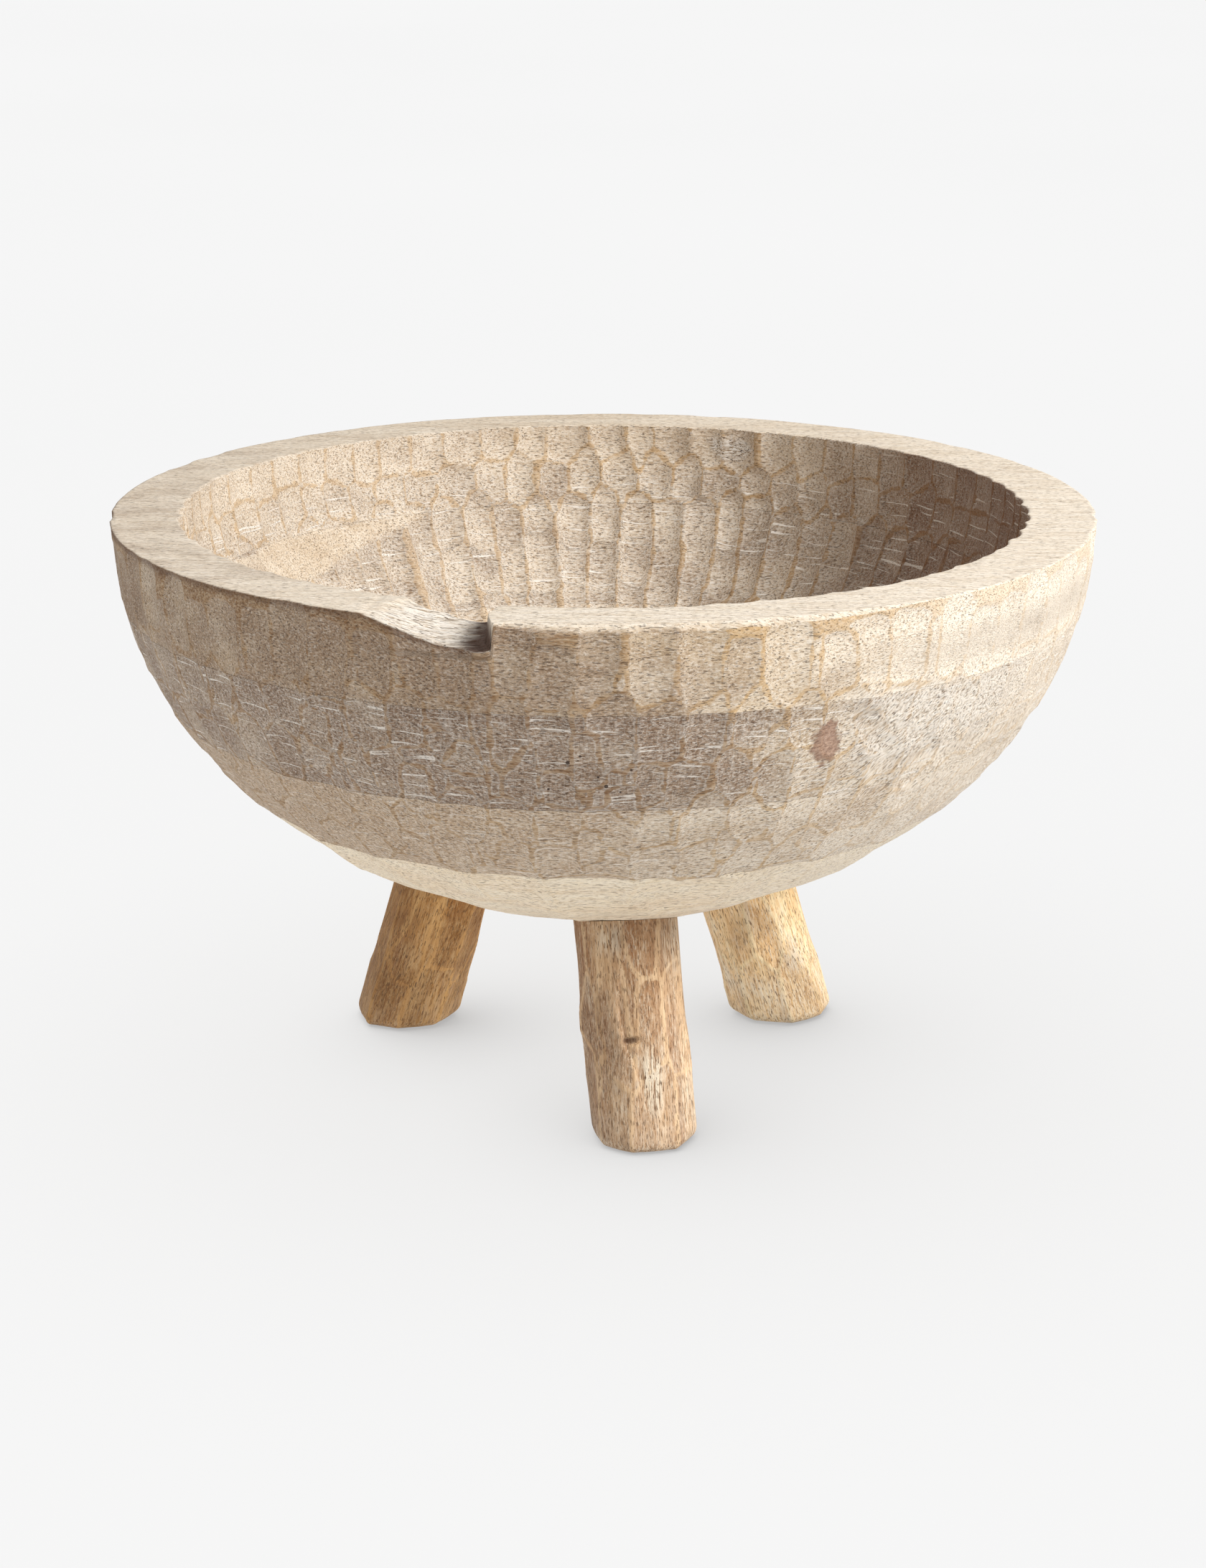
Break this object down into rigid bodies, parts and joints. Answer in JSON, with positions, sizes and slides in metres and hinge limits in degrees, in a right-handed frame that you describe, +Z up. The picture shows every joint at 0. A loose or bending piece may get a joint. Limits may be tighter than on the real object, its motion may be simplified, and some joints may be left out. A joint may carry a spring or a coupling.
{
  "type": "footed wooden bowl",
  "caption": "Round hand-carved wooden bowl with gouge-marked walls, a flat thick rim with a chipped notch, and splayed peg legs.",
  "frame": {"origin": "on the bowl's axis, at the level that the feet stand on", "axes": "+Z up the bowl's axis; -Y towards the front, where one leg and the rim notch are; +X to the right as seen from the front, along the boards' grain"},
  "size_m": [0.356, 0.356, 0.212],
  "materials": {
    "rim_board_wood": "limed, dry, gouge-carved with a planed rim",
    "upper_wall_wood": "limed grey-brown, dry, gouge-carved",
    "lower_wall_wood": "limed brown, dry, gouge-carved",
    "base_board_wood": "pale, dry, lightly faceted",
    "leg_wood": "golden brown, hewn, with traces of limewash",
    "dowel_wood": "plain turned dowel"
  },
  "bodies": {
    "root": {"rim_board": "rim_board_wood", "upper_wall_board": "upper_wall_wood", "lower_wall_board": "lower_wall_wood", "base_board": "base_board_wood", "front_leg": "leg_wood", "rear_left_leg": "leg_wood", "rear_right_leg": "leg_wood", "front_dowel": "dowel_wood", "rear_left_dowel": "dowel_wood", "rear_right_dowel": "dowel_wood"}
  },
  "joints": []
}
